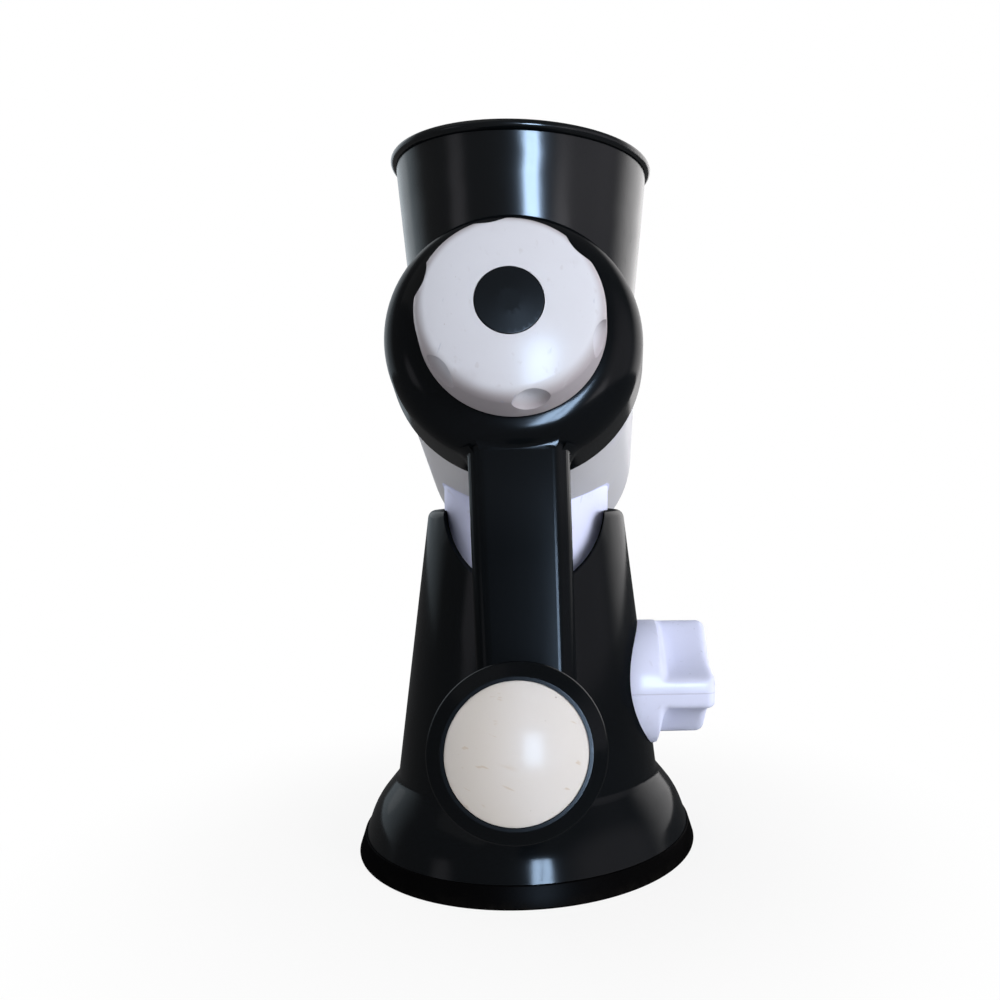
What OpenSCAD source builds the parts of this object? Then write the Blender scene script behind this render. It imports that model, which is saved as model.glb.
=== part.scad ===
// Hand-cranked rotary vegetable grater on a suction base.
// The crank side faces -Y, +Z is up, and the origin is the centre of the foot on the table.

/* [Base] */
// Radius of the rubber foot on the table
foot_r = 65; // [60:0.5:72]
// Height of the rubber foot below the bell
foot_h = 7.5; // [6:0.5:9]
// How far the foot tapers in towards its top
foot_taper = 2.4; // [1:0.1:3]
// How far the bell stands back from the top of the foot
foot_step = 0.6; // [0.4:0.1:1.2]
// Height at which the column leaves the bell
bell_h = 28; // [27:0.5:33]
// Width of the sloped shoulder of the bell
shoulder_w = 8.5; // [5:0.1:9]
// Drop of the shoulder below the foot of the column
shoulder_drop = 10.5; // [9:0.5:13]
// Radius of the column at its foot
column_r = 49.9; // [47:0.1:52]
// Radius of the column at its top
column_top_r = 36.8; // [35.5:0.2:40]
// Height of the base shell
base_h = 128.5; // [122:0.5:136]
// Wall of the base shell
wall = 3; // [2.4:0.1:3.6]
// Radius of the round cut at the front of the column
notch_r = 29; // [25:0.5:30]

/* [Suction mechanism] */
// Height of the suction knob's axis
suction_z = 61; // [58:0.5:66]
// Radius of the knob's barrel
barrel_r = 24; // [23:0.1:26]
// Distance from the column's axis to the end of the barrel
barrel_end = 50.5; // [50:0.25:54]
// Length of the knob's three arms past the barrel
arms_len = 19.5; // [14:0.25:20]
// Radius over the tips of the arms
arms_r = 24.8; // [22:0.1:26]
// Width of each arm at its tip
arms_w = 11; // [10:0.2:12]
// Thickness of the knob in the hollows between the arms
hollow_depth = 13.5; // [10:0.25:15]
// Radius of the knob's shaft
cam_r = 6; // [5:0.1:7]
// Radius of the eccentric pin
pin_r = 3.5; // [3:0.1:4]
// Lift of the rubber pad over the quarter turn
pad_lift = 5; // [3:0.25:6]
// Radius of the lift stem
stem_r = 4; // [3.5:0.1:5]
// Thickness of the rubber membrane
membrane_t = 2.8; // [2.2:0.1:3.4]

/* [Housing] */
// Height of the crank axis above the base shell, over the middle of the foot
axis_rise = 35.3; // [33:0.1:38]
// Upward tilt of the crank axis towards the crank, in degrees
axis_tilt = 12; // [10:0.25:13]
// Distance along the axis from the column to the housing's front
drum_front = 61; // [59:0.5:63]
// Distance along the axis from the column to the open rear end
drum_rear = 59; // [55:0.5:64]
// Radius of the housing at the front
drum_front_r = 36.8; // [35:0.2:38]
// Radius of the housing at the rear
drum_rear_r = 44.3; // [43.5:0.1:46]
// Radius of the neck that stands in the base
neck_r = 31; // [30:0.1:31.6]
// Wall of the neck
neck_wall = 2.6; // [2:0.1:3.2]

/* [Hopper] */
// Distance of the hopper's axis in front of the column's axis
hopper_fwd = 11; // [9:0.25:12]
// Height of the hopper's seat above the crank axis
seat_rise = 42; // [40:0.25:44]
// Height from the seat to the middle of the rim bead
hopper_h = 44; // [38:0.5:46]
// Outer radius of the hopper at its seat
hopper_seat_r = 40.2; // [39:0.1:41]
// Outer radius of the hopper below the rim
hopper_rim_r = 44.3; // [43:0.1:45]
// Wall of the hopper
hopper_wall = 2.2; // [1.6:0.1:2.6]
// Radius of the rim bead's section
bead_r = 1.6; // [1.3:0.1:2]
// Length of the spigot in the housing
spigot_h = 11; // [10:0.5:15]

/* [Grating cone] */
// Radius of the cone at the crank end
cone_front_r = 20; // [19:0.2:22]
// Radius of the cone at the open end
cone_rear_r = 36.2; // [36:0.2:37.6]
// Distance along the axis from the column to the small end
cone_front = 42; // [40:0.5:43]
// Distance along the axis from the column to the large end
cone_rear = 52; // [48:0.5:54]
// Thickness of the cone's sheet
sheet_t = 1.2; // [1:0.1:1.5]
// Rows of teeth along the cone
tooth_rows = 5; // [4:1:6]
// Teeth in each row
teeth_per_row = 10; // [8:1:12]
// Radius of a tooth's hole
tooth_hole_r = 2.7; // [2:0.1:3]
// Lip of a tooth round its hole
tooth_lip = 0.7; // [0.5:0.05:1]
// Height of a tooth along its own axis
tooth_h = 1.9; // [1.6:0.1:2.4]

/* [Crank] */
// Radius of the hub cup at its open back
cup_back_r = 38.8; // [37.5:0.1:39.5]
// Radius of the hub cup at its face, before the rounding
cup_front_r = 36.8; // [35:0.1:38]
// Depth of the hollow in the cup's back
cup_depth = 16; // [14:0.25:17]
// Rounding from the cup's face to its side
dome_r = 12; // [8:0.25:13]
// Height of the cup's face over the arm's face
face_rise = 3.2; // [2.5:0.1:4]
// Distance of the arm's back face in front of the cup's back edge
arm_offset = 13.5; // [13:0.25:15]
// Thickness of the arm
arm_t = 10.5; // [10:0.25:14]
// Width of the arm at the hub
arm_w = 28.9; // [25:0.2:32]
// Radius of the arm's lower end
arm_end_r = 13.6; // [12:0.2:15]
// Rounding of the arm's front edges
arm_edge = 5; // [3:0.1:6]
// Rounding of the arm's back edges
arm_back_edge = 2; // [1:0.1:3]
// Distance from the crank axis to the grip's axis
crank_len = 112.5; // [104:0.5:118]
// Angle of the hanging crank at rest, in degrees
crank_rest = 2; // [-5:0.1:5]
// Radius of the drive shaft in its bush
shaft_r = 6; // [5.5:0.1:7]
// Radius of the threaded front end of the shaft
stud_r = 4; // [3.5:0.1:4]

/* [Lock knob] */
// Radius of the knob at its back
knob_r = 26.4; // [25:0.1:28]
// Radius of the knob at its front edge
knob_front_r = 25.5; // [24:0.1:27]
// Radius of the knob's domed face
knob_dome_r = 83; // [70:1:120]
// Height of the whole knob
knob_h = 18; // [17.5:0.25:20]
// Thumb scallops round the knob
scallops = 6; // [4:1:8]
// Radius of the ball that cuts a scallop
scallop_r = 6.5; // [5:0.25:9]
// Depth of a scallop in the side wall
scallop_depth = 4; // [1.5:0.1:4.5]
// Distance of the scallops from the back of the knob
scallop_s = 11; // [7:0.25:12]
// Angle of the first scallop, in degrees
scallop_turn = 42.5; // [0:0.5:60]
// Radius of the black cap
cap_r = 9.2; // [8.8:0.1:10]

/* [Grip] */
// Length of the grip from the arm to its cap
grip_len = 60; // [48:0.5:66]
// Radius of the grip's flared end
flare_r = 18.75; // [17:0.1:21]
// Radius of the grip's waist
waist_r = 11.2; // [10.5:0.1:13]
// Radius of the white end cap
end_cap_r = 14.7; // [12:0.1:15.5]
// Height of the end cap's dome
dome_h = 3.6; // [2:0.1:5]
// Radius of the grip's spindle
spindle_r = 4; // [3.5:0.1:5]

/* [Hidden] */
$fn = 96;
black = [0.07, 0.08, 0.09];
rubber = [0.05, 0.05, 0.055];
white = [0.84, 0.85, 0.91];
ivory = [0.87, 0.85, 0.82];
steel = [0.7, 0.71, 0.73];

// Clearances: running fits, seats within one body, and gaps between bodies that turn
run_gap = 0.05;
seat_gap = 0.3;
turn_gap = 0.4;
over = 1;

// Heights in the base
skirt_r = foot_r - foot_taper - foot_step;
upstand_h = 3;
upstand_w = 2;
upstand_gap = 3.2;
sole_round = 0.6;
foot_round = 0.5;
membrane_round = 3;
floor_t = 3;
floor_rise = 16.5;
floor_z = foot_h + floor_rise;
floor_gap = 1;
deck_t = 3;
deck_drop = 9;
deck_z = base_h - notch_r - deck_drop;
lip_round = 3;
shoulder_round = 30;
bell_round = 6;
notch_rise = 2;
notch_z = base_h + notch_rise;
lip_depth = 3;
lip_z = notch_z - notch_r - lip_depth;

// Suction mechanism
head_r = 2 * stem_r;
head_t = 3;
head_cover = 0.9;
head_z = membrane_t + head_cover;
boss_wall = 4;
boss_r = head_r + boss_wall;
boss_top = head_z + head_t + boss_wall;
guide_wall = 4;
guide_r = stem_r + guide_wall;
guide_h = 15;
throw = pad_lift / (2 * sin(45));
pin_y = -throw * cos(45);
pin_z = suction_z - throw * sin(45);
web_x = 6.5;
web_t = 3;
web_rim = 2.5;
web_r = throw + pin_r + web_rim;
yoke_gap = 1.5;
yoke_t = 2 * (web_x - yoke_gap);
slot_gap = 0.6;
yoke_end = 2;
yoke_wall = 4.4;
tube_wall = 4;
tube_x = 14;
cam_square = 1.4 * (cam_r - 0.3);
cam_short = 1.5;
cam_end = barrel_end - cam_short;
knob_web = 4;
arms_round = 4.6;
tip_round = 3;
barrel_round = 2;
barrel_back = 0.6;
knob_screw_gap = 1;
arms_reach = (hollow_depth - arms_w / 2) / (1 - sin(60));
screw_r = 1.5;
screw_head_r = 3.2;
screw_head_t = 2.2;
screw_len = 13;
recess_w = 0.8;
recess_share = 0.6;
post_r = 4;
post_h = 20;
floor_screw_turns = [75, 180, 285];
floor_screw_reach = column_r - wall - post_r - 0.6;
neck_screw_turns = [30, 150, 270];
neck_screw_reach = neck_r - neck_wall - post_r + 0.6;
knob_screw_r = 2;
knob_screw_len = 14;

// The column's outer radius at a height
function column_at(z) = column_r + (column_top_r - column_r) * (z - bell_h) / (base_h - bell_h);
pocket_r = barrel_r + turn_gap;
pocket_sink = 1.5;
pocket_x = sqrt(pow(column_at(suction_z), 2) - pow(pocket_r, 2)) - pocket_sink;

// Crank axis and the housing round it
axis_z = base_h + axis_rise;
function cone_at(s) = cone_front_r
    + (cone_rear_r - cone_front_r) * (cone_front - s) / (cone_front + cone_rear);
tooth_lean = 42;
tooth_top = tooth_h * cos(tooth_lean) + (tooth_hole_r + tooth_lip) * sin(tooth_lean);
tooth_gap = 0.6;
chamber_gap = tooth_top + tooth_gap;
chamber_wall = 3;
chamber_space = 2;
chamber_front = cone_front + chamber_space;
neck_foot = deck_z + deck_t;
hopper_y = -hopper_fwd;
seat_z = axis_z + seat_rise;
spigot_step = 2.9;
spigot_r = hopper_seat_r - spigot_step;
funnel_rise = 3;
throat_r = spigot_r - hopper_wall;
throat_depth = 30;
throat_z = seat_z - throat_depth;

// Stack along the axis from the housing's front wall to the lock knob
front_boss_h = 5;
front_boss_r = 16;
bush_wall = 4;
bush_r = shaft_r + bush_wall;
flange_w = 4;
flange_r = bush_r + flange_w;
flange_t = 2;
washer_t = 1.5;
bush_front = drum_front + front_boss_h;
washer_s = bush_front + flange_t + seat_gap;
hub_s = washer_s + washer_t;
hub_wall = 6;
hub_r = shaft_r + hub_wall;
cup_gap = 3;
cup_back = drum_front + cup_gap;
cup_floor = cup_back + cup_depth;
cup_wall = 3;
cup_lip_round = 0.8;
arm_back = cup_back + arm_offset;
arm_front = arm_back + arm_t;
arm_bite = 8;
arm_root = cup_front_r - arm_bite;
corner_flat = 1;
arm_corner = arm_edge + corner_flat;
crank_face = arm_front + face_rise;
knob_s = crank_face + turn_gap;

// Fillets where the arm leaves the cup: across its face and down both sides
blend = 0.15;
cup_taper = atan((cup_back_r - cup_front_r) / (crank_face - cup_back));
dome_c = cup_front_r - dome_r / tan(45 + cup_taper / 2);
dome_s = crank_face - dome_r;
root_r = 6;
root_s = arm_front + root_r - blend;
root_c = dome_c + sqrt(pow(dome_r + root_r - blend, 2) - pow(root_s - dome_s, 2));
root_top = dome_s + (root_s - dome_s) * dome_r / (dome_r + root_r);
root_half = arm_w / 2 - arm_edge;
flare_fillet = 8;
flare_back = arm_back + 0.5;
flare_in = 3;
flare_steps = 6;
flare_sweep_a = acos(1 - flare_in / dome_r);
flare_cup_r = cup_front_r + dome_r * sin(cup_taper);
flare_x = arm_w / 2 + flare_fillet - blend;
flare_y = -sqrt(pow(flare_cup_r + flare_fillet - blend, 2) - pow(flare_x, 2));

knob_front = knob_s + knob_h;
knob_back_round = 0.6;
knob_edge = 5;
crown_steps = 12;
crown_flat = knob_front_r - 1.2 * knob_edge;
function crown(r) = knob_front - knob_dome_r + sqrt(pow(knob_dome_r, 2) - pow(r, 2));
square = 1.4 * (shaft_r - 0.05);
cap_t = 3.4;
cap_crown = 0.4;
cap_flat = 3;
cap_gap = 0.1;
cap_sink = 0.3;
nut_wall = 3.5;
nut_r = stud_r + nut_wall;
nut_s = knob_s + cap_t;
nut_h = 8;
stud_end = nut_s + nut_h + 1;

// Cone hub and rim
hub_disc_t = 6;
hub_tail = 6;
rim_t = 6;
rim_lip = 1.4;
hub_lip_t = 1;
tooth_edge = 5;
rim_back = 2;
rim_round = 1;
rim_in_r = cone_rear_r - sheet_t - rim_lip - 1;

// Grip, along its own axis
shoulder_t = 1.7;
grip_s = arm_front + shoulder_t + seat_gap;
grip_end = arm_front + grip_len;
cap_seat = 3.4;
flare_bevel = 2.4;
flare_band = 2;
collar_r = spindle_r + 3;
rivet_r = spindle_r + 2;
rivet_t = 2;
pin_pocket_wall = 4;
pin_pocket_h = 9;
pin_pocket_r = spindle_r + pin_pocket_wall;
pin_pocket_s = grip_end - cap_seat - pin_pocket_h;
grip_back_w = 1.6;
grip_back_round = 2.5;
waist_place = 0.4;
waist_round = 40;
flare_sweep = 8;
flare_round = 1.2;
mouth_lip = 0.9;
mouth_round = 0.4;
washer_gap = 0.5;
grip_washer_s = pin_pocket_s + seat_gap;

// Outlines: corners given as [x, y, rounding radius], the rounding may be left out
function unit(v) = v / norm(v);
function xy(p) = [p[0], p[1]];
function rounded_corner(a, q, b, r, n) =
    let (u = unit(a - q), w = unit(b - q))
    let (half = acos(u * w) / 2)
    let (c = q + unit(u + w) * r / sin(half))
    let (from = q + u * r / tan(half) - c, to = q + w * r / tan(half) - c)
    let (start = atan2(from[1], from[0]))
    let (turn = atan2(from[0] * to[1] - from[1] * to[0], from * to))
    [for (i = [0:n]) c + r * [cos(start + turn * i / n), sin(start + turn * i / n)]];
function outline(pts, n = 5) = [
    for (i = [0:len(pts) - 1])
        let (a = pts[(i + len(pts) - 1) % len(pts)], p = pts[i], b = pts[(i + 1) % len(pts)])
        each (p[2] == undef ? [xy(p)] : rounded_corner(xy(a), xy(p), xy(b), p[2], n))
];
module turned(pts, n = 5) rotate_extrude() polygon(outline(pts, n));

// Places: along the crank axis (z runs out of the front), at the grip, along the knob's axis
module on_axis() translate([0, 0, axis_z]) rotate([90 - axis_tilt, 0, 0]) children();
module on_crank() on_axis() rotate([0, 0, crank_rest]) children();
module at_grip() on_crank() translate([0, -crank_len, 0]) children();
module on_knob_axis() translate([0, 0, suction_z]) rotate([0, 90, 0]) children();
module around(turns, reach) for (a = turns) rotate([0, 0, a]) translate([reach, 0, 0]) children();
module length_z(from, to, r) translate([0, 0, from]) cylinder(h = to - from, r = r);
module cone_z(from, to, r1, r2) translate([0, 0, from]) cylinder(h = to - from, r1 = r1, r2 = r2);
module square_z(from, to, side) translate([-side / 2, -side / 2, from]) cube([side, side, to - from]);

// Screw standing on its head's underside at the origin, shank upwards, with a cross recess
module screw(len, r, head_r, head_t) difference() {
    recess = 1.4 * head_r;
    union() {
        length_z(0, len, r);
        length_z(-head_t, 0, head_r);
    }
    for (a = [0, 90]) rotate([0, 0, a]) translate([-recess / 2, -recess_w / 2, -head_t - over])
        cube([recess, recess_w, over + recess_share * head_t]);
}

// Rubber foot, membrane and the pocket that holds the stem's head
module suction_pad() color(rubber) {
    seat = skirt_r - wall - upstand_gap;
    turned([
        [0, 0], [foot_r, 0, sole_round], [foot_r - foot_taper, foot_h, foot_round], [seat, foot_h],
        [seat, foot_h + upstand_h], [seat - upstand_w, foot_h + upstand_h],
        [seat - upstand_w, membrane_t, membrane_round], [boss_r, membrane_t],
        [boss_r, boss_top], [stem_r + seat_gap, boss_top],
        [stem_r + seat_gap, head_z + head_t + seat_gap], [head_r + seat_gap, head_z + head_t + seat_gap],
        [head_r + seat_gap, head_z - seat_gap], [0, head_z - seat_gap]
    ]);
}

// Outer form of the base, drawn in by an inset
module base_form(inset, bottom, top) turned([
    [0, bottom], [skirt_r - inset, bottom],
    [column_r + shoulder_w - inset, bell_h - shoulder_drop, shoulder_round],
    [column_r - inset, bell_h, bell_round],
    [column_top_r - inset, top, inset > 0 ? lip_round / 5 : lip_round], [0, top]
]);

// Column and bell, with the deck under the neck, the knob's pocket and the shaft's bearing
module base_shell() color(black) difference() {
    union() {
        difference() {
            base_form(0, foot_h, base_h);
            base_form(wall, foot_h - over, base_h - over);
        }
        intersection() {
            base_form(wall / 2, foot_h + over, base_h - over / 2);
            union() {
                length_z(deck_z, deck_z + deck_t, foot_r);
                length_z(lip_z, base_h, foot_r);
                on_knob_axis() length_z(pocket_x - wall, foot_r, pocket_r + wall);
                on_knob_axis() length_z(tube_x, pocket_x, cam_r + tube_wall);
                around(floor_screw_turns, floor_screw_reach)
                    length_z(floor_z + floor_t, floor_z + floor_t + post_h, post_r);
            }
        }
    }
    length_z(deck_z + deck_t, base_h + over, neck_r + seat_gap);
    on_knob_axis() length_z(pocket_x, foot_r, pocket_r);
    on_knob_axis() length_z(tube_x - over, foot_r, cam_r + run_gap);
    around(floor_screw_turns, floor_screw_reach)
        length_z(floor_z, floor_z + floor_t + screw_len, screw_r + run_gap);
    around(neck_screw_turns, neck_screw_reach)
        length_z(deck_z - over, deck_z + deck_t + over, screw_r + seat_gap);
    translate([0, 0, notch_z]) rotate([90, 0, 0]) length_z(0, foot_r, notch_r);
    on_axis() cone_z(-drum_rear, drum_front, drum_rear_r + seat_gap, drum_front_r + seat_gap);
}

// Floor plate of the base, with the guide of the lift stem
module base_floor() color(black) difference() {
    union() {
        length_z(floor_z, floor_z + floor_t, column_at(floor_z + floor_t) - wall - floor_gap);
        length_z(floor_z, floor_z + floor_t + guide_h, guide_r);
    }
    length_z(floor_z - over, floor_z + floor_t + guide_h + over, stem_r + run_gap);
    around(floor_screw_turns, floor_screw_reach)
        length_z(floor_z - over, floor_z + floor_t + over, screw_r + seat_gap);
}

module floor_screws() color(steel)
    around(floor_screw_turns, floor_screw_reach) translate([0, 0, floor_z])
        screw(floor_t + screw_len - over, screw_r, screw_head_r, screw_head_t);

// Stem with its head in the rubber, and the slotted yoke round the eccentric pin
module lift_stem() color(steel) {
    slot_h = 2 * (pin_r + seat_gap);
    slot_back = throw + pin_r + slot_gap;
    slot_front = pin_y + pin_r + slot_gap;
    yoke_z = pin_z - slot_h / 2 - yoke_wall;
    difference() {
        union() {
            length_z(head_z, yoke_z + over, stem_r);
            length_z(head_z, head_z + head_t, head_r);
            translate([-yoke_t / 2, -slot_back - yoke_wall, yoke_z])
                cube([yoke_t, slot_back + slot_front + 2 * yoke_wall + yoke_end, slot_h + 2 * yoke_wall]);
        }
        translate([-yoke_t, -slot_back, pin_z - slot_h / 2])
            cube([2 * yoke_t, slot_back + slot_front, slot_h]);
    }
}

// Shaft of the suction knob: squared end, journal, web and eccentric pin
module cam_shaft() color(steel) difference() {
    union() {
        on_knob_axis() length_z(web_x + web_t, pocket_x, cam_r);
        on_knob_axis() square_z(pocket_x - over, cam_end, cam_square);
        on_knob_axis() length_z(web_x, web_x + web_t, web_r);
        translate([0, pin_y, pin_z]) rotate([0, 90, 0]) length_z(-web_x, web_x + over, pin_r);
    }
    on_knob_axis() length_z(cam_end - knob_screw_len, cam_end + over, knob_screw_r + run_gap);
}

// Section of the knob's grip: three arms with rounded tips, and round hollows between them
module knob_arms() {
    side = arms_w / 2 - arms_round;
    difference() {
        circle(r = arms_r - arms_round);
        for (a = [60:120:300]) rotate(a) translate([arms_reach, 0]) circle(r = arms_reach - hollow_depth);
    }
    for (a = [0:120:240]) rotate(a) {
        translate([0, -arms_w / 2]) square([arms_r - arms_round, arms_w]);
        translate([0, -side]) square([arms_r, 2 * side]);
        for (y = [-side, side]) translate([arms_r - arms_round, y]) circle(r = arms_round);
    }
}

// Knob: round barrel in the pocket, and three arms to turn it by, one of them to the front
module suction_knob() color(white) on_knob_axis() difference() {
    back = pocket_x + turn_gap;
    tip = barrel_end + arms_len;
    union() {
        turned([
            [0, back], [barrel_r, back, barrel_back],
            [barrel_r, barrel_end, barrel_round], [0, barrel_end]
        ]);
        intersection() {
            translate([0, 0, barrel_end - over]) linear_extrude(arms_len + over) rotate(-90) knob_arms();
            turned([[0, back], [arms_r + over, back], [arms_r + over, tip, tip_round], [0, tip]]);
        }
    }
    square_z(back - over, cam_end, cam_square + 2 * run_gap);
    length_z(cam_end - over, cam_end + knob_web + over, knob_screw_r + run_gap);
    length_z(cam_end + knob_web, tip + over, 2 * knob_screw_r + knob_screw_gap);
}

module knob_screw() color(steel) on_knob_axis() translate([0, 0, cam_end + knob_web])
    mirror([0, 0, 1]) screw(knob_screw_len, knob_screw_r, 2 * knob_screw_r, screw_head_t);

// Drum housing with its neck, hopper seat and the chamber round the cone
module body_housing() color(white) difference() {
    union() {
        on_axis() cone_z(-drum_rear, drum_front, drum_rear_r, drum_front_r);
        on_axis() length_z(drum_front - over, bush_front, front_boss_r);
        translate([0, hopper_y, 0]) length_z(throat_z, seat_z, hopper_seat_r);
        difference() {
            length_z(neck_foot, axis_z, neck_r);
            length_z(neck_foot - over, axis_z - over, neck_r - neck_wall);
        }
        intersection() {
            length_z(neck_foot, axis_z, neck_r);
            around(neck_screw_turns, neck_screw_reach) length_z(neck_foot, axis_z, post_r);
        }
    }
    on_axis() cone_z(-drum_rear - over, chamber_front,
        cone_at(-drum_rear - over) + chamber_gap, cone_at(chamber_front) + chamber_gap);
    difference() {
        length_z(neck_foot - over, axis_z, neck_r - neck_wall);
        on_axis() cone_z(-drum_rear, drum_front,
            cone_at(-drum_rear) + chamber_gap + chamber_wall,
            cone_at(drum_front) + chamber_gap + chamber_wall);
        around(neck_screw_turns, neck_screw_reach) length_z(neck_foot, axis_z, post_r);
    }
    translate([0, hopper_y, 0]) length_z(throat_z, seat_z, throat_r);
    translate([0, hopper_y, 0]) length_z(seat_z - spigot_h - seat_gap, seat_z + over, spigot_r + seat_gap);
    translate([0, hopper_y, 0])
        cone_z(seat_z, seat_z + hopper_h, hopper_seat_r + seat_gap, hopper_rim_r + seat_gap);
    on_axis() length_z(chamber_front - over, bush_front + over, bush_r + run_gap);
    around(neck_screw_turns, neck_screw_reach)
        length_z(neck_foot - over, neck_foot + screw_len, screw_r + run_gap);
}

module neck_screws() color(steel)
    around(neck_screw_turns, neck_screw_reach) translate([0, 0, deck_z])
        screw(deck_t + screw_len - over, screw_r, screw_head_r, screw_head_t);

// Feed funnel: spigot in the housing, tapered wall and rolled rim
module hopper() color(black) translate([0, hopper_y, seat_z]) {
    turned([
        [spigot_r - hopper_wall, -spigot_h], [spigot_r, -spigot_h], [spigot_r, 0],
        [hopper_seat_r, 0], [hopper_rim_r, hopper_h], [hopper_rim_r - hopper_wall, hopper_h],
        [hopper_seat_r - hopper_wall, funnel_rise], [spigot_r - hopper_wall, 0]
    ]);
    rotate_extrude() translate([hopper_rim_r, hopper_h]) circle(r = bead_r, $fn = 32);
}

module front_bush() color(ivory) on_axis() difference() {
    union() {
        length_z(chamber_front, bush_front, bush_r);
        length_z(bush_front, bush_front + flange_t, flange_r);
    }
    length_z(chamber_front - over, bush_front + flange_t + over, shaft_r + run_gap);
}

// Shaft: square in the cone's hub and in the crank, round in the bush, stud at the front
module drive_shaft() color(steel) on_crank() {
    square_z(cone_front - hub_disc_t - hub_tail, crank_face, square);
    length_z(cone_front + hub_lip_t, hub_s, shaft_r);
    length_z(crank_face - over, stud_end, stud_r);
}

// Hub that closes the small end of the cone
module cone_hub() color(black) on_crank() difference() {
    union() {
        cone_z(cone_front - hub_disc_t, cone_front,
            cone_at(cone_front - hub_disc_t) - sheet_t - run_gap, cone_at(cone_front) - sheet_t - run_gap);
        length_z(cone_front - hub_disc_t - hub_tail, cone_front, hub_r);
        length_z(cone_front, cone_front + hub_lip_t, cone_front_r - seat_gap);
    }
    square_z(cone_front - hub_disc_t - hub_tail - over, cone_front + 2 * over, square + 2 * run_gap);
}

// Places of the teeth: staggered rows, each tooth leaning round the cone
module at_teeth() {
    first = cone_front - hub_disc_t - tooth_edge;
    last = -cone_rear + rim_t + tooth_edge;
    for (row = [0:tooth_rows - 1], i = [0:teeth_per_row - 1]) {
        s = first + (last - first) * row / (tooth_rows - 1);
        rotate([0, 0, 360 * (i + (row % 2) / 2) / teeth_per_row])
            translate([cone_at(s), 0, s]) rotate([0, 90, tooth_lean]) children();
    }
}

// Steel cone with rows of raised cutting teeth
module grating_cone() color(steel) on_crank() difference() {
    union() {
        cone_z(-cone_rear, cone_front, cone_rear_r, cone_front_r);
        at_teeth() length_z(-sheet_t, tooth_h, tooth_hole_r + tooth_lip);
    }
    cone_z(-cone_rear - over, cone_front + over,
        cone_at(-cone_rear - over) - sheet_t, cone_at(cone_front + over) - sheet_t);
    at_teeth() length_z(-3 * tooth_h, 2 * tooth_h, tooth_hole_r);
}

// Ring that stiffens the open end of the cone
module cone_rim() color(black) on_crank() difference() {
    turned([
        [rim_in_r, -cone_rear - rim_back], [cone_rear_r + rim_lip, -cone_rear - rim_back, rim_round],
        [cone_rear_r + rim_lip, -cone_rear + rim_t, rim_round], [rim_in_r, -cone_rear + rim_t]
    ]);
    difference() {
        cone_z(-cone_rear, -cone_rear + 2 * rim_t,
            cone_rear_r + run_gap, cone_at(-cone_rear + 2 * rim_t) + run_gap);
        cone_z(-cone_rear - over, -cone_rear + 3 * rim_t,
            cone_at(-cone_rear - over) - sheet_t - run_gap,
            cone_at(-cone_rear + 3 * rim_t) - sheet_t - run_gap);
    }
}

module thrust_washer() color(steel) on_crank() difference() {
    length_z(washer_s, washer_s + washer_t, flange_r - washer_gap);
    length_z(washer_s - over, washer_s + washer_t + over, shaft_r + run_gap);
}

// A flat round with rounded edges, from which the arm is drawn
module arm_round(r) translate([0, 0, arm_back]) rotate_extrude($fn = 32) polygon(outline([
    [0, 0], [r, 0, arm_back_edge], [r, arm_t, arm_edge], [0, arm_t]
], 7));

// Fillets between the cup and the arm
module arm_fillets() {
    tip = flare_cup_r / (flare_cup_r + flare_fillet);
    intersection() {
        rotate_extrude() difference() {
            translate([dome_c, flare_back]) square([root_c - dome_c, root_top - flare_back]);
            translate([root_c, root_s]) circle(r = root_r);
        }
        translate([0, 0, arm_back]) linear_extrude(arm_t + root_r) polygon([
            [-root_half, -root_c - over], [root_half, -root_c - over],
            [arm_w / 2, -dome_c], [-arm_w / 2, -dome_c]
        ]);
    }
    for (side = [0, 1]) mirror([side, 0, 0]) intersection() {
        translate([flare_x, flare_y, 0]) rotate_extrude() polygon(concat(
            [[flare_fillet + flare_in, flare_back], [flare_fillet, flare_back]],
            [for (i = [0:flare_steps]) let (a = flare_sweep_a * i / flare_steps)
                [flare_fillet + dome_r * (1 - cos(a)), dome_s + dome_r * sin(a)]]
        ));
        translate([0, 0, arm_back]) linear_extrude(arm_t + root_r) polygon([
            [arm_w / 4, flare_y], [flare_x, flare_y], [tip * flare_x, tip * flare_y],
            [arm_w / 4, tip * flare_y]
        ]);
    }
}

// Hub cup and arm in one piece
module crank() color(black) on_crank() difference() {
    union() {
        turned([
            [0, hub_s], [hub_r, hub_s], [hub_r, cup_floor], [cup_front_r - cup_wall, cup_floor],
            [cup_back_r - cup_wall, cup_back], [cup_back_r, cup_back, cup_lip_round],
            [cup_front_r, crank_face, dome_r], [0, crank_face]
        ], 18);
        arm_fillets();
        hull() {
            for (x = [-1, 1]) translate([x * (arm_w / 2 - arm_corner), -arm_root - arm_corner, 0])
                arm_round(arm_corner);
            translate([0, -crank_len, 0]) arm_round(arm_end_r);
        }
    }
    square_z(hub_s - over, crank_face + over, square + 2 * run_gap);
    translate([0, -crank_len, 0]) length_z(arm_back - over, arm_front + over, spindle_r + run_gap);
}

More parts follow.
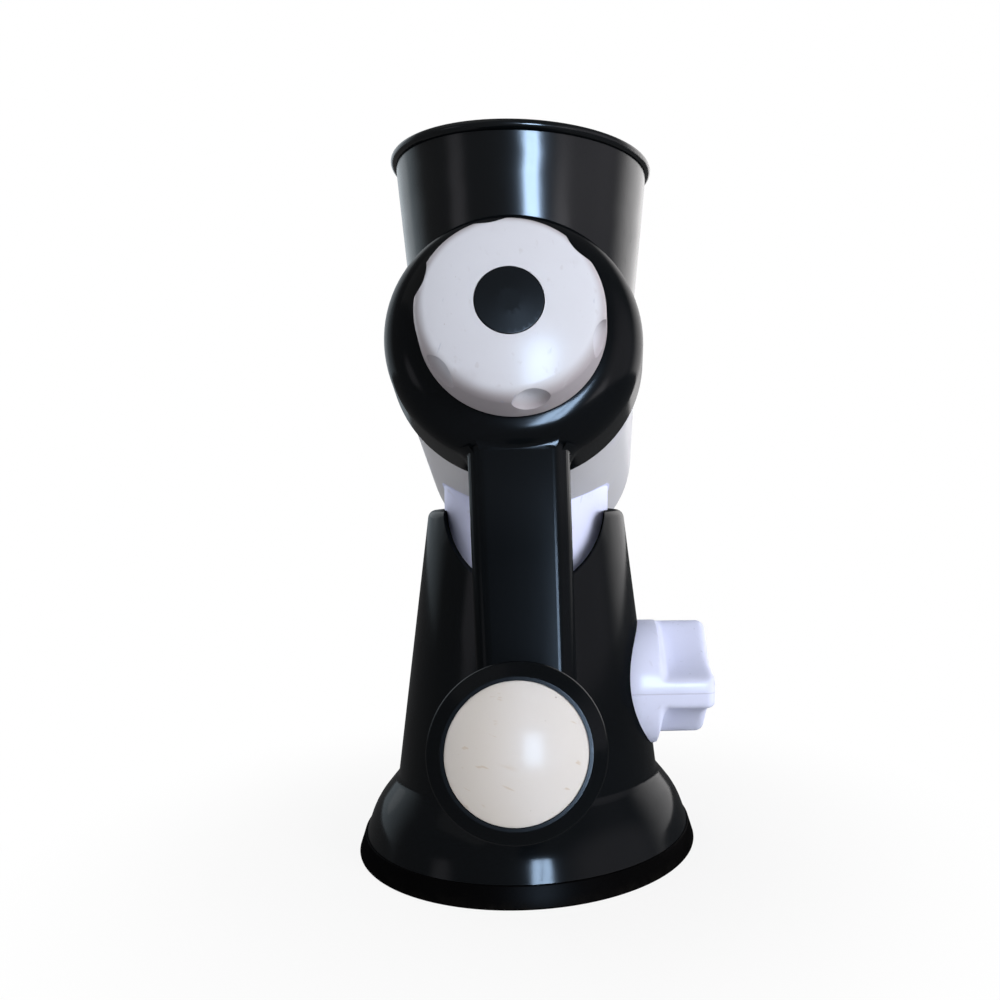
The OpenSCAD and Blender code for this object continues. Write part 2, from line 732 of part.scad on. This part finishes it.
// Knob on the shaft's stud, with thumb scallops and a recess for its cap
module lock_knob() color(white) on_crank() difference() {
    turned(concat(
        [[0, knob_s], [knob_r, knob_s, knob_back_round], [knob_front_r, crown(knob_front_r), knob_edge]],
        [for (i = [crown_steps:-1:0]) let (r = crown_flat * i / crown_steps) [r, crown(r)]]
    ), 10);
    for (i = [0:scallops - 1]) rotate([0, 0, scallop_turn - crank_rest + 360 * i / scallops])
        translate([knob_r - scallop_depth + scallop_r, 0, knob_s + scallop_s]) sphere(r = scallop_r);
    length_z(knob_front - cap_t, knob_front + over, cap_r + cap_gap);
    length_z(knob_s - over, nut_s + over, stud_r + seat_gap);
    translate([0, 0, nut_s]) cylinder(h = knob_h, r = nut_r + run_gap, $fn = 6);
}

module knob_insert() color(steel) on_crank() difference() {
    translate([0, 0, nut_s]) cylinder(h = nut_h, r = nut_r, $fn = 6);
    length_z(nut_s - over, nut_s + nut_h + over, stud_r + run_gap);
}

module lock_cap() color(black) on_crank() turned([
    [0, knob_front - cap_t], [cap_r, knob_front - cap_t], [cap_r, knob_front - cap_sink, cap_sink],
    [cap_flat, knob_front - cap_sink + cap_crown], [0, knob_front - cap_sink + cap_crown]
]);

// Pin riveted in the arm, with the shoulder and the head that hold the grip
module grip_spindle() color(steel) at_grip() {
    head_s = grip_washer_s + washer_t;
    length_z(arm_back - rivet_t, head_s + rivet_t, spindle_r);
    length_z(arm_back - rivet_t, arm_back, rivet_r);
    length_z(arm_front, arm_front + shoulder_t, collar_r);
    length_z(head_s, head_s + rivet_t, rivet_r);
}

// Turning grip with a waist and a bevelled flare
module grip_sleeve() color(black) at_grip() difference() {
    turned([
        [0, grip_s], [waist_r + grip_back_w, grip_s, grip_back_round],
        [waist_r, grip_s + waist_place * grip_len, waist_round],
        [flare_r, grip_end - flare_bevel - flare_band, flare_sweep],
        [flare_r, grip_end - flare_bevel, flare_round],
        [end_cap_r + mouth_lip, grip_end, mouth_round], [0, grip_end]
    ], 7);
    length_z(grip_s - over, grip_end, spindle_r + run_gap);
    length_z(pin_pocket_s, grip_end + over, pin_pocket_r);
    length_z(grip_end - cap_seat, grip_end + over, end_cap_r + cap_gap);
}

module grip_washer() color(steel) at_grip() difference() {
    length_z(grip_washer_s, grip_washer_s + washer_t, pin_pocket_r - washer_gap);
    length_z(grip_washer_s - over, grip_washer_s + washer_t + over, spindle_r + run_gap);
}

// Domed cap in the end of the grip
module grip_cap() color(ivory) at_grip() {
    ball_r = (end_cap_r * end_cap_r + dome_h * dome_h) / (2 * dome_h);
    base_s = grip_end - cap_sink;
    length_z(grip_end - cap_seat, base_s, end_cap_r);
    intersection() {
        translate([0, 0, base_s + dome_h - ball_r]) sphere(r = ball_r);
        length_z(base_s - over, base_s + dome_h + over, end_cap_r);
    }
}

suction_pad();
base_shell();
base_floor();
floor_screws();
lift_stem();
cam_shaft();
suction_knob();
knob_screw();
body_housing();
neck_screws();
hopper();
front_bush();
drive_shaft();
cone_hub();
grating_cone();
cone_rim();
thrust_washer();
crank();
lock_knob();
knob_insert();
lock_cap();
grip_spindle();
grip_sleeve();
grip_washer();
grip_cap();
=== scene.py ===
import math

import bmesh
import bpy
from mathutils import Matrix, Vector


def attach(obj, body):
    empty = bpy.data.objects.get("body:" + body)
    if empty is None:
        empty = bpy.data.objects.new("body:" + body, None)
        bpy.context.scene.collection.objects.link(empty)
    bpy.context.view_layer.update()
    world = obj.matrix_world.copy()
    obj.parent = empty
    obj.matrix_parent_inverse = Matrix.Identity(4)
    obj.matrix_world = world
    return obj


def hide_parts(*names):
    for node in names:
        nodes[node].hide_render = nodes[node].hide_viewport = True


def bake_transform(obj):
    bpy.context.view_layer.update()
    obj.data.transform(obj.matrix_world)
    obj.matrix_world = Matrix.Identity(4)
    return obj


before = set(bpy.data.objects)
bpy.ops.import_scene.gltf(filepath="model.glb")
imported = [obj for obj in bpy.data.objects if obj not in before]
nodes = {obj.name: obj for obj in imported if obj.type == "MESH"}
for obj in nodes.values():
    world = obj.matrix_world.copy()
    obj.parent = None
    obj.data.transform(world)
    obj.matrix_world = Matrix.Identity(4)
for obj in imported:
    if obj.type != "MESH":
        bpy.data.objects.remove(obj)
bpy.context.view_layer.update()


# Foot of the base: one moulding of soft black rubber with a flat underside, a tapered rim and a boss
# that the stem pulls up. It is matt, a little dusty and paler where it rubs the table. The boss is a
# piece of its own here.
class Field:
    """One output in a material's node tree. Arithmetic on fields adds Math nodes."""

    def __init__(self, tree, socket=None):
        self.tree = tree
        self.socket = socket

    def node(self, kind, inputs, out=0, **settings):
        made = self.tree.nodes.new("ShaderNode" + kind)
        for name, value in settings.items():
            setattr(made, name, value)
        for name, value in inputs.items():
            if isinstance(value, Field):
                self.tree.links.new(value.socket, made.inputs[name])
            else:
                made.inputs[name].default_value = value
        return Field(self.tree, made.outputs[out] if made.outputs else None)

    def math(self, operation, first, second=0.0):
        return self.node("Math", {0: first, 1: second}, operation=operation)

    def __add__(self, other):
        return self.math("ADD", self, other)

    def __radd__(self, other):
        return self.math("ADD", other, self)

    def __sub__(self, other):
        return self.math("SUBTRACT", self, other)

    def __rsub__(self, other):
        return self.math("SUBTRACT", other, self)

    def __mul__(self, other):
        return self.math("MULTIPLY", self, other)

    def __rmul__(self, other):
        return self.math("MULTIPLY", other, self)

    def __abs__(self):
        return self.math("ABSOLUTE", self)


def new_finish(name):
    material = bpy.data.materials.new(name)
    material.use_nodes = True
    material.node_tree.nodes.clear()
    tree = Field(material.node_tree)
    return material, tree, tree.node("TexCoord", {}, out="Object")


def axis_of(tree, at, axis):
    return tree.node("SeparateXYZ", {"Vector": at}, out=axis)


def cloud(tree, at, scale, detail=3.0, stretch=(1, 1, 1), turn=(0, 0, 0)):
    placed = tree.node("Mapping", {"Vector": at, "Scale": stretch, "Rotation": turn}, vector_type="TEXTURE")
    return tree.node("TexNoise", {"Vector": placed, "Scale": scale, "Detail": detail})


def ease(tree, value, low, high, start=0.0, end=1.0):
    limits = {"Value": value, 1: low, 2: high, 3: start, 4: end}
    return tree.node("MapRange", limits, interpolation_type="SMOOTHSTEP")


def tint(tree, amount, first, second):
    return tree.node("Mix", {0: amount, 6: first, 7: second}, out=2, data_type="RGBA")


def relief(tree, height, strength, depth):
    return tree.node("Bump", {"Height": height, "Strength": strength, "Distance": depth})


def scratches(tree, at, scale, length, turn, share):
    strokes = ease(tree, cloud(tree, at, scale, 2, length, turn), 0.66, 0.72)
    return strokes * ease(tree, cloud(tree, at, 0.12 * scale, 2), share, share + 0.1)


def specks(tree, at, scale, size, share):
    dots = tree.node("TexVoronoi", {"Vector": at, "Scale": scale}, out="Distance")
    return ease(tree, dots, size, 0.3 * size) * ease(tree, cloud(tree, at, 0.2 * scale), share, share + 0.08)


def dress(material, tree, shader, *names):
    tree.node("OutputMaterial", {"Surface": tree.node("BsdfPrincipled", shader)})
    for name in names:
        for slot in nodes[name].material_slots:
            slot.material = material


def put_in_scene(name, data):
    piece = bpy.data.objects.new(name, data)
    bpy.context.scene.collection.objects.link(piece)
    return piece


foot_rubber, tree, at = new_finish("foot_rubber")
mottle = cloud(tree, at, 55)
rubbed = ease(tree, axis_of(tree, at, "Z"), 0.0045, 0.0003) * ease(tree, cloud(tree, at, 210), 0.35, 0.7)
deep_black, dusty_black = (0.0008, 0.0008, 0.001, 1), (0.006, 0.0056, 0.0053, 1)
dress(foot_rubber, tree, {
    "Base Color": tint(tree, 0.25 * mottle + 0.55 * rubbed, deep_black, dusty_black),
    "Roughness": 0.5 + 0.22 * mottle + 0.15 * rubbed,
    "Specular IOR Level": 0.0,
    "Coat Weight": 0.005 - 0.003 * rubbed,
    "Coat Roughness": 0.35,
    "Normal": relief(tree, cloud(tree, at, 1500, 2), 0.25, 0.0002),
}, "suction_pad")

boss_r, sole_t, pocket_floor = 0.0122, 0.0028, 0.0034
underside_top = 0.001
same_place = 1e-6
crease_angle = math.radians(32)


def in_boss(face):
    corners = [vert.co for vert in face.verts]
    off_table = max(corner.z for corner in corners) > underside_top
    return off_table and all(corner.xy.length < boss_r for corner in corners)


def part_of_pad(name, wanted):
    part = bmesh.new()
    part.from_mesh(nodes["suction_pad"].data)
    bmesh.ops.remove_doubles(part, verts=part.verts[:], dist=same_place)
    bmesh.ops.delete(part, geom=[face for face in part.faces if in_boss(face) != wanted], context="FACES")
    bmesh.ops.holes_fill(part, edges=[edge for edge in part.edges if edge.is_boundary], sides=0)
    for edge in part.edges:
        edge.smooth = edge.calc_face_angle(0) < crease_angle
    for face in part.faces:
        face.smooth = True
    data = bpy.data.meshes.new(name)
    part.to_mesh(data)
    part.free()
    data.materials.clear()
    data.materials.append(foot_rubber)
    piece = put_in_scene(name, data)
    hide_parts("suction_pad")
    return piece


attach(part_of_pad("foot_ring", False), "stand")
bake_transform(part_of_pad("foot_boss", True))


# Base: a bell and a tapering column moulded in one piece of glossy black plastic, cut round at
# the front for the neck. The mould's gloss has gone hazy in patches and carries fine rub marks.
def soften_edges(node):
    weld = node.modifiers.new("weld", "WELD")
    weld.merge_threshold = same_place
    crease = node.modifiers.new("crease", "EDGE_SPLIT")
    crease.split_angle = crease_angle
    flow = node.modifiers.new("flow", "WEIGHTED_NORMAL")
    flow.mode = "FACE_AREA"
    flow.weight = 50


def moulded_black(finish, name, shine, blur, marks, turn=(0, 0, 0)):
    material, tree, at = new_finish(finish)
    sheen = shine(tree, at) if callable(shine) else shine
    haze = cloud(tree, at, 26, 4)
    streaks = cloud(tree, at, 60, 5, (0.033, 0.033, 1.7), turn)
    rubs = ease(tree, streaks, 0.6, 0.78) * ease(tree, cloud(tree, at, 34), 0.45, 0.65)
    lint = specks(tree, at, 420, 0.1, 0.56)
    worn = 0.5 * haze + 0.35 * marks * rubs + 0.5 * lint
    dress(material, tree, {
        "Base Color": tint(tree, worn, (0.0012, 0.0017, 0.0023, 1), (0.007, 0.0085, 0.0105, 1)),
        "Roughness": 0.3 + 0.2 * haze,
        "Specular IOR Level": 0.0,
        "Coat Weight": sheen * (1.2 - 0.5 * haze - 0.4 * marks * rubs),
        "Coat Roughness": blur,
        "Normal": relief(tree, cloud(tree, at, 330, 2), 0.05, 0.0003),
    }, name)
    soften_edges(nodes[name])


moulded_black("base_gloss", "base_shell", shine=0.056, blur=0.13, marks=0.6)


# Floor plate and the carriers of the cone: plain black mouldings that nobody polishes, with a
# fine spark-eroded grain and the grey bloom of plastic that is washed often.
inner_plastic, tree, at = new_finish("inner_plastic")
bloom = cloud(tree, at, 48, 4)
dress(inner_plastic, tree, {
    "Base Color": tint(tree, bloom, (0.008, 0.009, 0.01, 1), (0.035, 0.037, 0.04, 1)),
    "Roughness": 0.42 + 0.2 * bloom,
    "Normal": relief(tree, cloud(tree, at, 2200, 2), 0.3, 0.0001),
}, "base_floor", "cone_hub", "cone_rim")


# Screws: pan-head steel with a cross recess, zinc plated. The plating is cloudy and a little
# yellow, and dull where the driver has turned in it.
zinc_plate, tree, at = new_finish("zinc_plate")
frost = cloud(tree, at, 700, 3)
dress(zinc_plate, tree, {
    "Base Color": tint(tree, frost, (0.42, 0.43, 0.44, 1), (0.62, 0.61, 0.57, 1)),
    "Metallic": 1.0,
    "Roughness": 0.28 + 0.25 * frost,
    "Normal": relief(tree, cloud(tree, at, 2600, 2), 0.2, 0.00008),
}, "floor_screws", "neck_screws", "knob_screw")


# Shafts, stem, spindle, washers and nut: bright steel, turned on a lathe, so fine rings run round
# them and a thin oil film mottles the shine.
turned_steel, tree, at = new_finish("turned_steel")
film = cloud(tree, at, 120, 3)
rings = cloud(tree, at, 300, 2, (1, 0.07, 0.17))
dress(turned_steel, tree, {
    "Base Color": tint(tree, film, (0.5, 0.51, 0.52, 1), (0.66, 0.66, 0.66, 1)),
    "Metallic": 1.0,
    "Roughness": 0.2 + 0.16 * film + 0.1 * rings,
    "Normal": relief(tree, rings, 0.12, 0.0001),
}, "lift_stem", "cam_shaft", "drive_shaft", "thrust_washer", "grip_spindle", "grip_washer", "knob_insert")


# Suction knob: a white moulding whose barrel runs out into three arms, with a deep hole in its end
# for the screw that holds it on the cam shaft. The two halves of the mould have left a thin line
# along the arms.
knob_level = 0.061
barrel_back, barrel_r = 0.0374, 0.024
arms_from, arms_run = 0.049, 0.004
hollow_r, hollow_away, corner_round = 0.0462, 0.0597, 0.005
tip_x, tip_round = 0.07, 0.0035
hole_r, hole_floor = 0.005, 0.053
screw_r = 0.0022
shaft_r, shaft_end = 0.0058, 0.0492
sixth, third = math.radians(60), math.radians(120)


def arms_reach(angle):
    lean = sixth - abs((angle + sixth) % third - sixth)
    inside = hollow_r ** 2 - (hollow_away * math.sin(lean)) ** 2
    hollow = hollow_away * math.cos(lean) - math.sqrt(inside) if inside > 0 else 2 * barrel_r
    near = max(corner_round - abs(barrel_r - hollow), 0) / corner_round
    return min(barrel_r, hollow) - corner_round * near ** 2 / 4


def shape_ring(ring, x, arms, trim):
    for vert in ring:
        angle = math.atan2(vert.co.z - knob_level, -vert.co.y)
        reach = barrel_r + arms * (arms_reach(angle) - barrel_r) - trim
        vert.co = (x, -reach * math.cos(angle), knob_level + reach * math.sin(angle))


# Each ring of the knob: its place along the barrel, its share of the arms' shape, and its depth inside
stations = [(barrel_back, 0, 0.0006), (0.0376, 0, 0.0002), (0.038, 0, 0), (0.043, 0, 0), (0.0485, 0, 0)]
for step in range(1, 11):
    share = step / 10
    stations.append((arms_from + arms_run * share, share * share * (3 - 2 * share), 0))
stations += [(0.057, 1, 0), (0.062, 1, 0), (0.0655, 1, 0)]
for degrees in range(0, 91, 10):
    bend = math.radians(degrees)
    stations.append((tip_x - tip_round * (1 - math.sin(bend)), 1, tip_round * (1 - math.cos(bend))))
for x, radius in ((tip_x, 0.0058), (0.0698, 0.0052), (0.0693, hole_r), (hole_floor, hole_r),
                  (hole_floor, screw_r), (shaft_end, screw_r), (shaft_end, shaft_r), (barrel_back, shaft_r)):
    stations.append((x, 0, barrel_r - radius))

knob_mesh = bmesh.new()
sideways = Matrix.Translation((0, 0, knob_level)) @ Matrix.Rotation(math.radians(90), 4, "Y")
ring = bmesh.ops.create_circle(knob_mesh, segments=144, radius=barrel_r, matrix=sideways)["verts"]
back_edges = knob_mesh.edges[:]
edges = back_edges
for number, (x, arms, trim) in enumerate(stations):
    if number:
        grown = bmesh.ops.extrude_edge_only(knob_mesh, edges=edges)["geom"]
        ring = [part for part in grown if isinstance(part, bmesh.types.BMVert)]
        edges = [part for part in grown if isinstance(part, bmesh.types.BMEdge)]
        edges = [edge for edge in edges if edge.verts[0] in ring and edge.verts[1] in ring]
    shape_ring(ring, x, arms, trim)
bmesh.ops.bridge_loops(knob_mesh, edges=edges + back_edges)
bmesh.ops.recalc_face_normals(knob_mesh, faces=knob_mesh.faces[:])
for face in knob_mesh.faces:
    face.smooth = True
for edge in knob_mesh.edges:
    edge.smooth = edge.calc_face_angle(0) < math.radians(40)
knob_data = bpy.data.meshes.new("suction_knob_arms")
knob_mesh.to_mesh(knob_data)
knob_mesh.free()
suction_knob = put_in_scene("suction_knob_arms", knob_data)


def moulded_white(finish, name, clean_and_painted_light, worn_tone, blur, seam=None):
    material, tree, at = new_finish(finish)
    soft = cloud(tree, at, 30, 3)
    grime = ease(tree, cloud(tree, at, 75, 5), 0.56, 0.74) * ease(tree, cloud(tree, at, 21), 0.42, 0.62)
    scuff = ease(tree, cloud(tree, at, 120, 4, (0.2, 2, 0.33), (0.4, 0.2, 0.7)), 0.63, 0.75)
    dirt = 0.35 * grime + 0.3 * scuff + 0.8 * specks(tree, at, 260, 0.07, 0.57)
    scratch = scratches(tree, at, 700, (1, 1, 9), (0.1, 0.35, 0), 0.5)
    worn = 0.4 * soft + dirt
    dents = 0.15 * cloud(tree, at, 420, 2) - 0.3 * scratch
    if seam:
        groove = seam(tree, at)
        worn = worn + 0.6 * groove
        dents = dents - groove
    # the clean colour also carries each piece's painted light or painted shade where it has any
    first = clean_and_painted_light(tree, at) if callable(clean_and_painted_light) else clean_and_painted_light
    dress(material, tree, {
        "Base Color": tint(tree, 0.35 * scratch, tint(tree, worn, first, worn_tone), (0.3, 0.34, 0.45, 1)),
        "Roughness": 0.35 + 0.1 * soft + 0.18 * grime,
        "Specular IOR Level": 0.0,
        "Coat Weight": 0.05 - 0.03 * grime - 0.02 * scuff,
        "Coat Roughness": blur,
        "Normal": relief(tree, dents, 0.35, 0.0002),
    }, name)
    soften_edges(nodes[name])
    return material


def knob_seam(tree, at):
    above_seam = axis_of(tree, at, "Z") - 0.0611
    return ease(tree, abs(above_seam), 0.0004, 0.0001) * ease(tree, axis_of(tree, at, "Y"), -0.004, -0.006)


# painted light: the knob's white is painted bluish, the cast of bluish light in shade
knob_data.materials.append(moulded_white(
    "knob_white", "suction_knob", clean_and_painted_light=(0.7, 0.74, 0.95, 1), worn_tone=(0.52, 0.54, 0.7, 1), blur=0.2,
    seam=knob_seam))
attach(suction_knob, "suction_set")
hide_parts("suction_knob")


# Housing: drum, neck and hopper seat in one white moulding, screwed in the base by its neck. Its seam
# runs down the middle, under the drum and along the neck; the neck is painted light, brighter and bluer than
# the drum.
neck_r, neck_top = 0.031, 0.147


def housing_seam(tree, at):
    return ease(tree, abs(axis_of(tree, at, "X")), 0.0003, 0.0001)


def housing_painted_light(tree, at):
    flat = tree.node("VectorMath", {0: at, 1: (1, 1, 0)}, operation="MULTIPLY")
    reach = tree.node("VectorMath", {0: flat}, out="Value", operation="LENGTH")
    on_neck = ease(tree, abs(reach - neck_r), 0.0009, 0.0005)
    # painted light: the neck band is painted a brighter, bluer white than the drum's darker grey
    neck = on_neck * ease(tree, axis_of(tree, at, "Z"), neck_top, neck_top - 0.003)
    return tint(tree, neck, (0.54, 0.54, 0.56, 1), (0.7, 0.74, 1.0, 1))


moulded_white("housing_white", "body_housing", clean_and_painted_light=housing_painted_light, worn_tone=(0.5, 0.51, 0.6, 1), blur=0.24,
              seam=housing_seam)


# Hopper: a black funnel with a rolled rim that stands in its seat on the housing. It is the glossiest
# piece of all, rubbed by the food that is pressed down in it.
moulded_black("hopper_gloss", "hopper", shine=0.13, blur=0.18, marks=0.8)


# Bush of the drive shaft: a flanged moulding of pale, waxy bearing plastic, pressed in the front wall
# of the housing.
bearing_plastic, tree, at = new_finish("bearing_plastic")
wax = cloud(tree, at, 160, 3)
dress(bearing_plastic, tree, {
    "Base Color": tint(tree, wax, (0.62, 0.6, 0.54, 1), (0.74, 0.72, 0.67, 1)),
    "Roughness": 0.38 + 0.16 * wax,
    "Normal": relief(tree, cloud(tree, at, 1600, 2), 0.2, 0.0001),
}, "front_bush")


# Grating cone: stainless sheet rolled to a cone, with punched and raised teeth. It was polished
# while it turned, so the lines of the polish run round the crank axis.
axis_tilt = math.radians(12)
crank_axis = Vector((0, -math.cos(axis_tilt), math.sin(axis_tilt)))
cone_steel, tree, at = new_finish("cone_steel")
along = tree.node("VectorMath", {0: at, 1: crank_axis}, out="Value", operation="DOT_PRODUCT")
lines = tree.node("TexNoise", {"W": along, "Scale": 2600.0, "Detail": 3.0}, noise_dimensions="1D")
stain = cloud(tree, at, 70, 4)
dress(cone_steel, tree, {
    "Base Color": tint(tree, 0.6 * stain + 0.4 * lines, (0.5, 0.51, 0.52, 1), (0.7, 0.7, 0.7, 1)),
    "Metallic": 1.0,
    "Roughness": 0.18 + 0.12 * stain + 0.14 * lines,
    "Normal": relief(tree, lines, 0.1, 0.00008),
}, "grating_cone")


# Crank: hub cup and arm in one glossy black moulding, held on the shaft by the lock knob. Hands and
# cloths have left marks along the arm and dulled it below the hub.
hub_centre = (0, -0.078, 0.1804)
hub_sheen, arm_sheen = 0.06, 0.025


def crank_sheen(tree, at):
    reach = tree.node("VectorMath", {0: at, 1: hub_centre}, out="Value", operation="DISTANCE")
    return ease(tree, reach, 0.045, 0.065, hub_sheen, arm_sheen)


moulded_black("crank_gloss", "crank", shine=crank_sheen, blur=0.14, marks=1.0, turn=(0.2, 0, 0.03))


# Lock knob: a white moulding screwed on the shaft's stud, with scallops for the fingers. Its side
# is painted grey as painted shade, darker than its face. A black cap hides the nut.
face_white, painted_side_shade = (0.59, 0.61, 0.68, 1), (0.35, 0.32, 0.345, 1)


def lock_face_and_painted_shade(tree, at):
    offset = tree.node("VectorMath", {0: at, 1: hub_centre}, operation="SUBTRACT")
    across = tree.node("VectorMath", {0: offset, 1: crank_axis}, operation="CROSS_PRODUCT")
    reach = tree.node("VectorMath", {0: across}, out="Value", operation="LENGTH")
    # painted shade: past the face's edge the knob's side is painted grey
    return tint(tree, ease(tree, reach, 0.0225, 0.0255), face_white, painted_side_shade)


moulded_white("lock_white", "lock_knob", clean_and_painted_light=lock_face_and_painted_shade, worn_tone=(0.44, 0.43, 0.47, 1), blur=0.22)
moulded_black("cap_satin", "lock_cap", shine=0.085, blur=0.3, marks=0.7, turn=(0.4, 0.3, 0))


# Grip: a black sleeve with a bevelled flare that turns on its spindle, and in its end a domed ivory
# cap that is yellowed and scuffed brown by use.
moulded_black("grip_gloss", "grip_sleeve", shine=0.045, blur=0.18, marks=0.8, turn=(1.3, 0, 0))
ivory, tree, at = new_finish("grip_ivory")
warm = cloud(tree, at, 45, 3)
# the cap is yellower and darker towards its left (-X), and its smears gather there
toward_left_share = ease(tree, axis_of(tree, at, "X"), 0.01, -0.006)
smears = ease(tree, cloud(tree, at, 170, 4, (5, 1, 1), (0, 0.35, 0)), 0.56, 0.7)
streak = smears * ease(tree, cloud(tree, at, 70) + 0.12 * toward_left_share, 0.5, 0.66)
cuts = scratches(tree, at, 800, (10, 1, 1), (0, 0.35, 0), 0.46)
dots = specks(tree, at, 330, 0.09, 0.54)
yellowed = tint(tree, 0.6 * warm + 0.4 * toward_left_share, (0.6, 0.59, 0.605, 1), (0.53, 0.49, 0.445, 1))
scuffed = tint(tree, 0.55 * streak + 0.45 * cuts, yellowed, (0.42, 0.31, 0.2, 1))
dress(ivory, tree, {
    "Base Color": tint(tree, 0.6 * dots, scuffed, (0.2, 0.18, 0.15, 1)),
    "Roughness": 0.35 + 0.12 * warm + 0.25 * streak,
    "Specular IOR Level": 0.0,
    "Coat Weight": 0.028 - 0.02 * streak,
    "Coat Roughness": 0.2,
    "Normal": relief(tree, cloud(tree, at, 380, 2) - 0.6 * streak - 0.8 * cuts, 0.06, 0.0002),
}, "grip_cap")


# Studio: a pale floor that runs out into white, two tall window panes behind the camera, a soft lamp
# in front on the right, one above, one behind, and paler patches of wall that glossy pieces mirror.
def rays(tree):
    direct = tree.node("LightPath", {}, out="Is Camera Ray")
    glossy = tree.node("LightPath", {}, out="Is Glossy Ray")
    through = tree.node("LightPath", {}, out="Is Transmission Ray")
    return tree.math("MINIMUM", direct + glossy + through, 1.0), glossy


floor_mesh = bmesh.new()
bmesh.ops.create_grid(floor_mesh, x_segments=1, y_segments=1, size=4.0)
floor_data = bpy.data.meshes.new("floor")
floor_mesh.to_mesh(floor_data)
floor_mesh.free()
put_in_scene("floor", floor_data)
pale_floor, tree, at = new_finish("pale_floor")
far = ease(tree, tree.node("VectorMath", {0: at}, out="Value", operation="LENGTH"), 0.06, 0.2, 0.88, 1.0)
seen, glossy = rays(tree)
matt = tree.node("BsdfDiffuse", {"Color": (0.65, 0.65, 0.65, 1)})
white = tree.node("Emission", {"Color": (1, 1, 1, 1), "Strength": 1.0})
tree.node("OutputMaterial", {"Surface": tree.node("MixShader", {0: far * seen, 1: matt, 2: white})})
floor_data.materials.append(pale_floor)

middle = Vector((0, -0.02, 0.14))


def soft_light(name, place, width, height, watts, colour, lights=True, mirrors=True):
    lamp = bpy.data.lights.new(name, "AREA")
    lamp.shape = "RECTANGLE"
    lamp.size, lamp.size_y, lamp.energy, lamp.color = width, height, watts, colour
    light = put_in_scene(name, lamp)
    light.location = place
    light.visible_diffuse = lights
    light.visible_glossy = mirrors
    light.rotation_euler = (middle - Vector(place)).to_track_quat("-Z", "Y").to_euler()


for pane, x in (("left_pane", 0.17), ("right_pane", 0.35)):
    soft_light(pane, (x, -1.48, 0.33), 0.15, 0.6, watts=95, colour=(0.52, 0.72, 1.0), lights=False)
soft_light("right_front", (1.15, -1.2, 0.4), 0.9, 0.9, watts=28, colour=(0.97, 0.98, 1.0), mirrors=False)
soft_light("overhead", (-0.9, -0.5, 1.7), 1.4, 1.4, watts=8, colour=(1.0, 0.99, 0.97))
soft_light("back_fill", (-1.0, 1.3, 0.8), 1.2, 1.2, watts=13, colour=(1.0, 1.0, 1.0))

# Each patch: where it lies, the degrees within which it is full and beyond which it is gone, its
# strength and its colour
wall_patches = (
    ((0.89, -0.45, 0.1), 12, 45, 3.6, (0.96, 0.9, 0.97, 1)),
    ((0.61, -0.79, -0.04), 2, 13, 13.0, (0.97, 0.95, 1.0, 1)),
    ((0.67, 0.74, 0.08), 5, 45, 16.5, (1.0, 0.98, 0.98, 1)),
    ((-0.67, 0.74, 0.08), 5, 42, 6.0, (0.75, 0.9, 1.0, 1)),
    ((-0.85, -0.53, 0.08), 3, 11, 4.5, (0.95, 0.92, 1.0, 1)),
)
world = bpy.data.worlds.new("studio")
bpy.context.scene.world = world
world.use_nodes = True
world.node_tree.nodes.clear()
tree = Field(world.node_tree)
seen, glossy = rays(tree)
toward = tree.node("TexCoord", {}, out="Generated")
sky = tree.node("Background", {"Strength": 0.33 + 0.67 * seen, "Color": (1, 1, 1, 1)})
for side, full, gone, strength, colour in wall_patches:
    aim = Vector(side).normalized()
    facing = tree.node("VectorMath", {0: toward, 1: aim}, out="Value", operation="DOT_PRODUCT")
    patch = ease(tree, facing, math.cos(math.radians(gone)), math.cos(math.radians(full)), 0.0, strength)
    glow = tree.node("Background", {"Strength": patch * glossy, "Color": colour})
    sky = tree.node("AddShader", {0: sky, 1: glow})
tree.node("OutputWorld", {"Surface": sky})


# Camera: a phone's wide lens held close, a little above the middle of the crank, and turned slightly
# down and to the right.
look_down, look_right = 5.25, 3.87
lens = bpy.data.cameras.new("camera")
lens.sensor_width = 36.0
lens.lens = 36.0 * 0.896
lens.shift_x, lens.shift_y = -0.122, 0.062
lens.clip_start = 0.01
camera = put_in_scene("camera", lens)
camera.location = (0.0132, -0.3464, 0.1399)
camera.rotation_euler = (math.radians(90 - look_down), 0, math.radians(-look_right))
bpy.context.scene.camera = camera
bpy.context.scene.view_settings.view_transform = "Standard"
